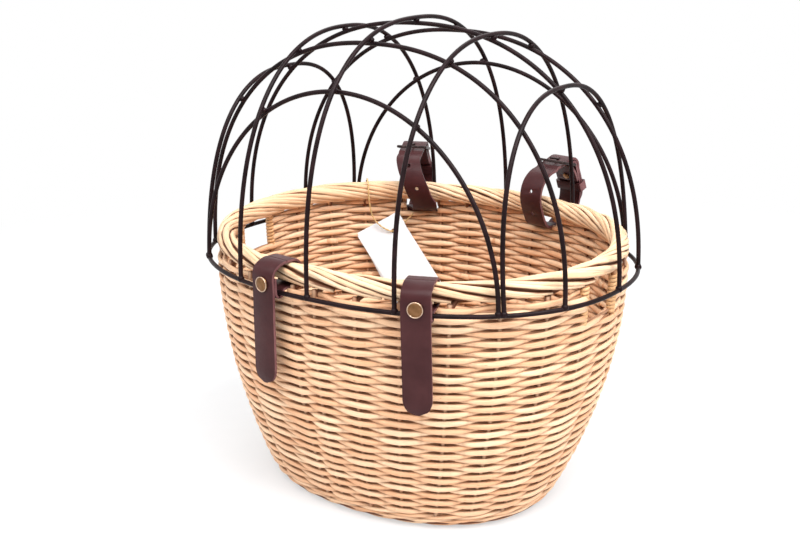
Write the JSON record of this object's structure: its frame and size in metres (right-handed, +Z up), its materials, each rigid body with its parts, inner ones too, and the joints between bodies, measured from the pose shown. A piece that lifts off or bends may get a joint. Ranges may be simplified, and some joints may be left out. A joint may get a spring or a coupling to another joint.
{
  "type": "wicker pet basket",
  "caption": "Oval willow handlebar basket for a small pet, with a hinged welded-wire dome, press-studded front straps and buckled rear straps.",
  "frame": {"origin": "on the underside of the base, straight below the middle of the wire hoop", "axes": "+Z up, +X to the basket's right as seen from the front, -Y to the front (the press-studded straps), +Y to the rear (the buckled straps)"},
  "size_m": [0.4136, 0.3637, 0.4328],
  "materials": {
    "willow": "natural buff willow, satin",
    "bound_willow": "natural willow binding, satin",
    "wire": "black-brown coated wire, satin gloss",
    "leather": "dark brown, soft sheen",
    "old_brass": "antique brass",
    "card": "matt white card",
    "raffia": "natural raffia"
  },
  "bodies": {
    "basket": {"base": "willow", "upset_wale": "willow", "wall": "willow", "border": "willow", "binding_left_front": "bound_willow", "binding_left_rear": "bound_willow", "binding_right_front": "bound_willow", "binding_right_rear": "bound_willow", "front_strap_left": "leather", "front_strap_right": "leather", "rear_strap_left": "leather", "rear_strap_right": "leather", "buckle_frame_left": "old_brass", "buckle_frame_right": "old_brass", "buckle_prong_left": "old_brass", "buckle_prong_right": "old_brass", "keeper_left": "leather", "keeper_right": "leather", "rivet_left": "old_brass", "rivet_right": "old_brass", "tag_card_front": "card", "tag_card_back": "card", "tag_string": "raffia"},
    "dome": {"hoop": "wire", "arch_lengthwise_middle": "wire", "arch_lengthwise_left": "wire", "arch_lengthwise_right": "wire", "arch_end_left": "wire", "arch_end_right": "wire", "arch_crosswise_middle": "wire", "arch_crosswise_front": "wire", "arch_crosswise_rear": "wire", "arch_corner_front": "wire", "arch_corner_rear": "wire"},
    "tail_left": {"front_tail_left": "leather", "stud_cap_left": "old_brass"},
    "tail_right": {"front_tail_right": "leather", "stud_cap_right": "old_brass"},
    "tab_left": {"front_tab_left": "leather", "stud_post_left": "old_brass"},
    "tab_right": {"front_tab_right": "leather", "stud_post_right": "old_brass"}
  },
  "joints": [
    {"name": "dome_hinge", "type": "hinge", "parent": "basket", "child": "dome", "pos_m": [0, 0.162, 0.214], "axis": [-1, 0, 0], "range_deg": [0, 85]},
    {"name": "tail_left_hinge", "type": "hinge", "parent": "basket", "child": "tail_left", "pos_m": [-0.04128, -0.15043, 0.23994], "axis": [-0.9925, 0.1223, 0], "range_deg": [0, 145]},
    {"name": "tail_right_hinge", "type": "hinge", "parent": "basket", "child": "tail_right", "pos_m": [0.09686, -0.13692, 0.24047], "axis": [-0.9335, -0.3587, 0], "range_deg": [0, 145]},
    {"name": "tab_left_hinge", "type": "hinge", "parent": "basket", "child": "tab_left", "pos_m": [-0.04244, -0.15981, 0.2083], "axis": [0.9925, -0.1223, 0], "range_deg": [0, 90]},
    {"name": "tab_right_hinge", "type": "hinge", "parent": "basket", "child": "tab_right", "pos_m": [0.10045, -0.14626, 0.2083], "axis": [0.9335, 0.3587, 0], "range_deg": [0, 90]}
  ],
  "couplings": [
    {"joint": "tail_left_hinge", "follows": "dome_hinge", "ratio": 1.7},
    {"joint": "tail_right_hinge", "follows": "dome_hinge", "ratio": 1.7},
    {"joint": "tab_left_hinge", "follows": "dome_hinge", "ratio": 1.05},
    {"joint": "tab_right_hinge", "follows": "dome_hinge", "ratio": 1.05}
  ]
}
